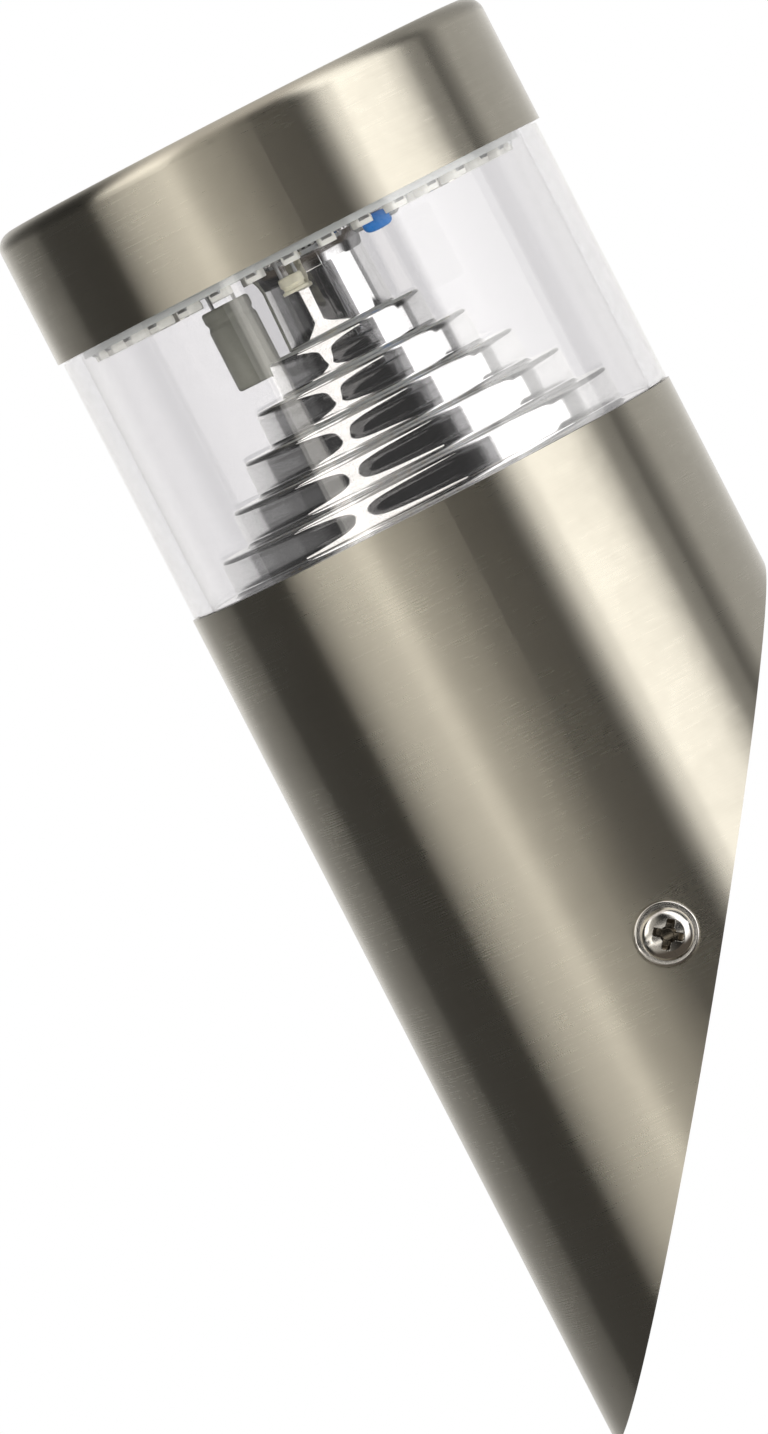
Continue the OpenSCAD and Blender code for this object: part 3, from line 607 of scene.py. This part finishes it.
outside = [(9.4, Z_BOARD, 0), (9.4, Z_BOARD - 0.3, 0.1), (8.75, Z_BOARD - 0.9, 0.8),
           (8.3, Z_BOARD - 1.8, 1.2), (8.0, Z_BOARD - 3.2, 2.5), (8.06, 115.5, 0),
           (8.14, 113.0, 0), (8.21, 110.5, 0), (8.28, Z_STEPS, 0.4)]
inside = [(6.2, Z_BOARD), (7.3, Z_STEPS - SHELL)]
for i in range(STEP_COUNT):
    top_r, top_z = STEP_R + i * STEP_GROW, Z_STEPS - i * STEP_H
    outside.append((top_r, top_z, STEP_EDGE))
    # The lower the step, the more its wall is barrelled
    wall_r, barrel = top_r, 0.4 + 0.15 * i
    for k in range(3, 20):
        down = k * WALL_STEP
        run = down if k == 3 else WALL_STEP
        wall_r += math.tan(math.radians(wall_lean(down, barrel))) * run
        outside.append((wall_r, top_z - down, 0))
    outside.append((wall_r - FOOT_IN, top_z - STEP_H, STEP_EDGE))
    inside += [(top_r - SHELL, top_z - SHELL), (top_r - SHELL + 0.1, top_z - STEP_H - SHELL)]
outside += [(FLOOR_R, Z_FLOOR, 0.3), (FLOOR_R, SKIRT_LOW, 0)]
inside += [(FLOOR_R - SHELL, Z_FLOOR - SHELL), (FLOOR_R - SHELL, SKIRT_LOW)]
shell_line = rounded(outside) + inside[::-1]
shell = mesh_piece("reflector_shell", lathe(shell_line, 192, loop=True), "bright_reflector")
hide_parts("reflector")


# Diodes: tapered white packages with a phosphor window below and soldered ends
LED_COUNT, LED_RING_R, LED_TURN, LED_H, LED_POINTS = 36, 31.5, 4.0, 1.2, 32


def led_point(u, v, w, turn):
    """A point of a diode: u outwards and v round the ring from its middle, w below the board."""
    c, s = math.cos(turn), math.sin(turn)
    u += LED_RING_R
    return lamp_point(u * c - v * s, u * s + v * c, Z_BOARD - w)


def boxed(half_u, half_v, w, turn):
    """A rectangle with rounded corners, as a ring of a diode."""
    ring, power = [], 8
    for a in angles(LED_POINTS, 0.5):
        u, v = math.cos(a), math.sin(a)
        reach = 1.0 / (abs(u) ** power + abs(v) ** power) ** (1 / power)
        ring.append(led_point(u * reach * half_u, v * reach * half_v, w, turn))
    return ring


def circle(r, w, turn):
    """A circle, as a ring of a diode."""
    return [
        led_point(r * math.cos(a), r * math.sin(a), w, turn) for a in angles(LED_POINTS, 0.5)]


packages, windows, solder = [], [], []
for i in range(LED_COUNT):
    turn = math.radians(LED_TURN) + 2 * math.pi * i / LED_COUNT
    packages.append(rings_mesh([
        boxed(1.6, 1.2, 0.0, turn), boxed(1.7, 1.25, 0.35, turn), boxed(1.66, 1.22, 1.12, turn),
        boxed(1.6, 1.17, LED_H, turn), circle(1.02, LED_H, turn), circle(0.92, 1.04, turn),
    ]))
    windows.append(rings_mesh([
        circle(0.6, 0.98, turn), circle(0.95, 1.03, turn), circle(0.93, 1.08, turn),
        circle(0.5, 1.12, turn),
    ]))
    for end in (-1, 1):
        # A fillet of solder, whose foot runs out on the board
        solder.append(rings_mesh([
            [led_point(end * (1.62 + 0.16 * p), q * (0.85 - 0.12 * p), w, turn)
             for p, w in ((0, 0.5), (1, 0.42), (2.6, 0.02), (0, 0.0))]
            for q in (-1, -0.9, 0.9, 1)
        ]))
led_piece = mesh_piece("led_packages", join_skins(packages), "led_package")
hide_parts("leds")
mesh_piece("led_windows", join_skins(windows), "film_yellow")
mesh_piece("led_solder", join_skins(solder), "zinc_steel")


# Side screws with a tapered cross recess and a rolled thread, and washers with rounded edges
HEAD_R, SHANK_R, SHANK_LEN, PITCH, THREAD_H = 3.75, 2.0, 10.0, 0.7, 0.4
SLOT_HALF, SLOT_TAPER, SLOT_REACH, SLOT_SLOPE, SLOT_DEEP = 0.6, 0.16, 2.2, 2.4, 1.5
PILOT_R, PILOT_SLOPE, PILOT_DEEP = 1.2, 5.0, 1.8


def side_point(side, x, r, a):
    """A point round a side screw: x outwards from the lamp's middle, r from the screw's axis."""
    return Vector((side * x, SCREW_Y + r * math.cos(a), r * math.sin(a))) * MM


def recess_depth(r, a, turn):
    """Depth of the cross recess at a polar place on the head."""
    p, q = r * math.cos(a - turn), r * math.sin(a - turn)
    deep = 0.0
    for along, aside in ((p, q), (q, p)):
        wall = min(1.0, max(0.0, (SLOT_HALF - abs(aside)) / SLOT_TAPER))
        floor = min(SLOT_DEEP, max(0.0, (SLOT_REACH - abs(along)) * SLOT_SLOPE))
        deep = max(deep, wall * floor)
    return max(deep, min(PILOT_DEEP, max(0.0, (PILOT_R - r) * PILOT_SLOPE)))


def screw_skin(side):
    """A side screw, from its tip over thread and head's rim to the floor of the recess."""
    ring_angles = angles(240)
    tip, thread_step = HEAD_X - SHANK_LEN, PITCH / 8
    rings = [[side_point(side, tip, 1.3, a) for a in ring_angles]]
    steps = int((SHANK_LEN - 0.5) / thread_step)
    for k in range(steps + 1):
        x = tip + 0.3 + k * thread_step
        # The ridge has a flat crest, and fades out towards the tip and the head
        fade = min(1.0, k / 6, (steps - k) / 3)
        ring = []
        for a in ring_angles:
            phase = (x / PITCH - side * a / (2 * math.pi)) % 1.0
            ridge = min(1.0, abs(2.0 * phase - 1.0) * 1.3)
            ring.append(side_point(side, x, SHANK_R - THREAD_H * (1.0 - ridge * fade), a))
        rings.append(ring)
    rim = [(0.0, 2.0), (0.0, 3.5), (0.1, 3.68), (0.35, HEAD_R), (0.7, HEAD_R), (1.05, 3.71),
           (1.36, 3.63), (1.62, 3.51), (1.84, 3.35), (2.02, 3.15), (2.17, 2.92), (2.29, 2.66),
           (2.37, 2.42)]
    for x, r in rim:
        rings.append([side_point(side, HEAD_X + x, r, a) for a in ring_angles])
    turn = math.radians(-2.0 * side)
    face_r, face_rings = 2.3, 70
    for k in range(face_rings):
        r = face_r * (1.0 - k / face_rings) + 0.02
        dome = HEAD_H - DOME * r * r
        rings.append([
            side_point(side, HEAD_X + dome - recess_depth(r, a, turn), r, a)
            for a in ring_angles])
    return rings_mesh(rings)


def washer_skin(side):
    """A side screw's washer, from its bore round its rim and back."""
    low, high, bore, rim = 37.65, 38.35, 2.25, 4.6
    section = [(low, bore), (low, rim - 0.1), (low + 0.12, rim), (high - 0.3, rim),
               (high - 0.12, rim - 0.06), (high - 0.02, rim - 0.2), (high, rim - 0.42),
               (high - 0.02, 3.6), (high - 0.02, bore)]
    rings = [[side_point(side, x, r, a) for a in angles(96)] for x, r in section]
    return rings_mesh(rings, True)


for side, word in ((1, "right"), (-1, "left")):
    screw = mesh_piece(
        f"screw_{word}_detailed", screw_skin(side), "bright_screw", f"screw_{word}", 50.0)
    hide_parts(f"side_screw_{word}")
washers = mesh_piece(
    "side_washers_rounded", join_skins([washer_skin(1), washer_skin(-1)]), "bright_screw")
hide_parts("side_washers")


# Reservoir capacitor: shrunk sleeve that folds over the end of an aluminium can
CAN_R, CAN_TOP, CAN_LOW = 3.75, Z_BOARD - 2.0, Z_BOARD - 14.3
sleeve = rounded([
    (0.6, CAN_TOP - 0.35, 0), (2.9, CAN_TOP - 0.35, 0.1), (3.05, CAN_TOP, 0.12),
    (CAN_R, CAN_TOP, 0.5), (CAN_R, CAN_TOP - 1.5, 0.4), (CAN_R - 0.33, CAN_TOP - 2.2, 0.5),
    (CAN_R, CAN_TOP - 2.9, 0.4), (CAN_R, CAN_LOW, 0.55), (2.7, CAN_LOW, 0.06),
    (2.7, CAN_LOW + 0.12, 0), (0.5, CAN_LOW + 0.12, 0),
])
can = mesh_piece(
    "capacitor_sleeved", lathe(sleeve, 96, CAN_X, CAN_Y), "capacitor_sleeve", sharp=60.0)
mesh_piece("capacitor_leads", lead_pair(
    CAN_X, CAN_Y, 1.75, [(0.3, Z_BOARD), (0.3, CAN_TOP - 0.5)]), "zinc_steel")
mesh_piece("capacitor_end", lathe(rounded([
    (0.3, CAN_LOW + 0.3, 0), (2.68, CAN_LOW + 0.3, 0), (2.68, CAN_LOW + 0.04, 0.1),
    (0.3, CAN_LOW + 0.07, 0)]), 48, CAN_X, CAN_Y), "zinc_steel")
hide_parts("reservoir_capacitor")


# Resistor: lacquered body with rounded ends, lying under the board on two bent leads
RES_X, RES_Y, RES_TURN, RES_Z = 11.0, 10.6, math.radians(75.0), Z_BOARD - 1.42
RES_HALF, RES_LEAD, BEND_R, WIRE_R, WIRE_POINTS = 2.1, 3.5, 0.7, 0.3, 20


def resistor_point(u, v, z):
    """A point of the resistor: u along its body, v across it, z the height along the lamp."""
    c, s = math.cos(RES_TURN), math.sin(RES_TURN)
    return lamp_point(RES_X + u * c - v * s, RES_Y + u * s + v * c, z)


def resistor_ring(u, r, count=48):
    """A circle round the resistor's own line."""
    return [resistor_point(u, r * math.cos(a), RES_Z + r * math.sin(a)) for a in angles(count)]


body_line = (
    (-RES_HALF, 0.35), (-RES_HALF, 0.6), (-1.98, 0.85), (-1.7, 1.05), (-1.35, 1.17),
    (-1.0, 1.22), (-0.65, 1.24), (-0.3, 1.26), (0.3, 1.26), (0.65, 1.24), (1.0, 1.22),
    (1.35, 1.17), (1.7, 1.05), (1.98, 0.85), (RES_HALF, 0.6), (RES_HALF, 0.35))
resistor = mesh_piece("resistor_body", rings_mesh(
    [resistor_ring(u, r) for u, r in body_line]), "resistor_blue", sharp=60.0)
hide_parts("resistor")
bent = []
for end in (-1, 1):
    rings = [resistor_ring(end * (RES_HALF - 0.1), WIRE_R, WIRE_POINTS),
             resistor_ring(end * (RES_LEAD - BEND_R), WIRE_R, WIRE_POINTS)]
    for k in range(1, 7):
        a = math.radians(15.0 * k)
        du, dz = RES_LEAD - BEND_R + BEND_R * math.sin(a), BEND_R * (1.0 - math.cos(a))
        rings.append([
            resistor_point(
                end * (du - WIRE_R * math.sin(b) * math.sin(a)), WIRE_R * math.cos(b),
                RES_Z + dz + WIRE_R * math.sin(b) * math.cos(a))
            for b in angles(WIRE_POINTS)])
    rings.append([
        resistor_point(end * (RES_LEAD - WIRE_R * math.sin(b)), WIRE_R * math.cos(b), Z_BOARD)
        for b in angles(WIRE_POINTS)])
    bent.append(rings_mesh(rings))
mesh_piece("resistor_leads", join_skins(bent), "zinc_steel")


# Suppressor: pressed disc with a groove round its middle, on two leads
SUP_X, SUP_Y, SUP_TOP = 9.6, -3.8, Z_BOARD - 2.6
disc = mesh_piece("suppressor_disc", lathe(rounded([
    (0.3, SUP_TOP, 0), (1.8, SUP_TOP, 0.35), (1.84, SUP_TOP - 1.3, 0.15),
    (1.6, SUP_TOP - 1.5, 0.1), (1.6, SUP_TOP - 1.95, 0.1), (2.0, SUP_TOP - 2.05, 0.12),
    (1.98, SUP_TOP - 2.5, 0.15), (0.3, SUP_TOP - 2.5, 0)]), 64, SUP_X, SUP_Y), "suppressor_cream")
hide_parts("suppressor")
mesh_piece("suppressor_leads", lead_pair(SUP_X, SUP_Y, 1.1, [
    (0.5, Z_BOARD), (0.42, Z_BOARD - 0.35), (0.3, Z_BOARD - 0.6), (0.3, SUP_TOP - 0.3)]),
    "zinc_steel")
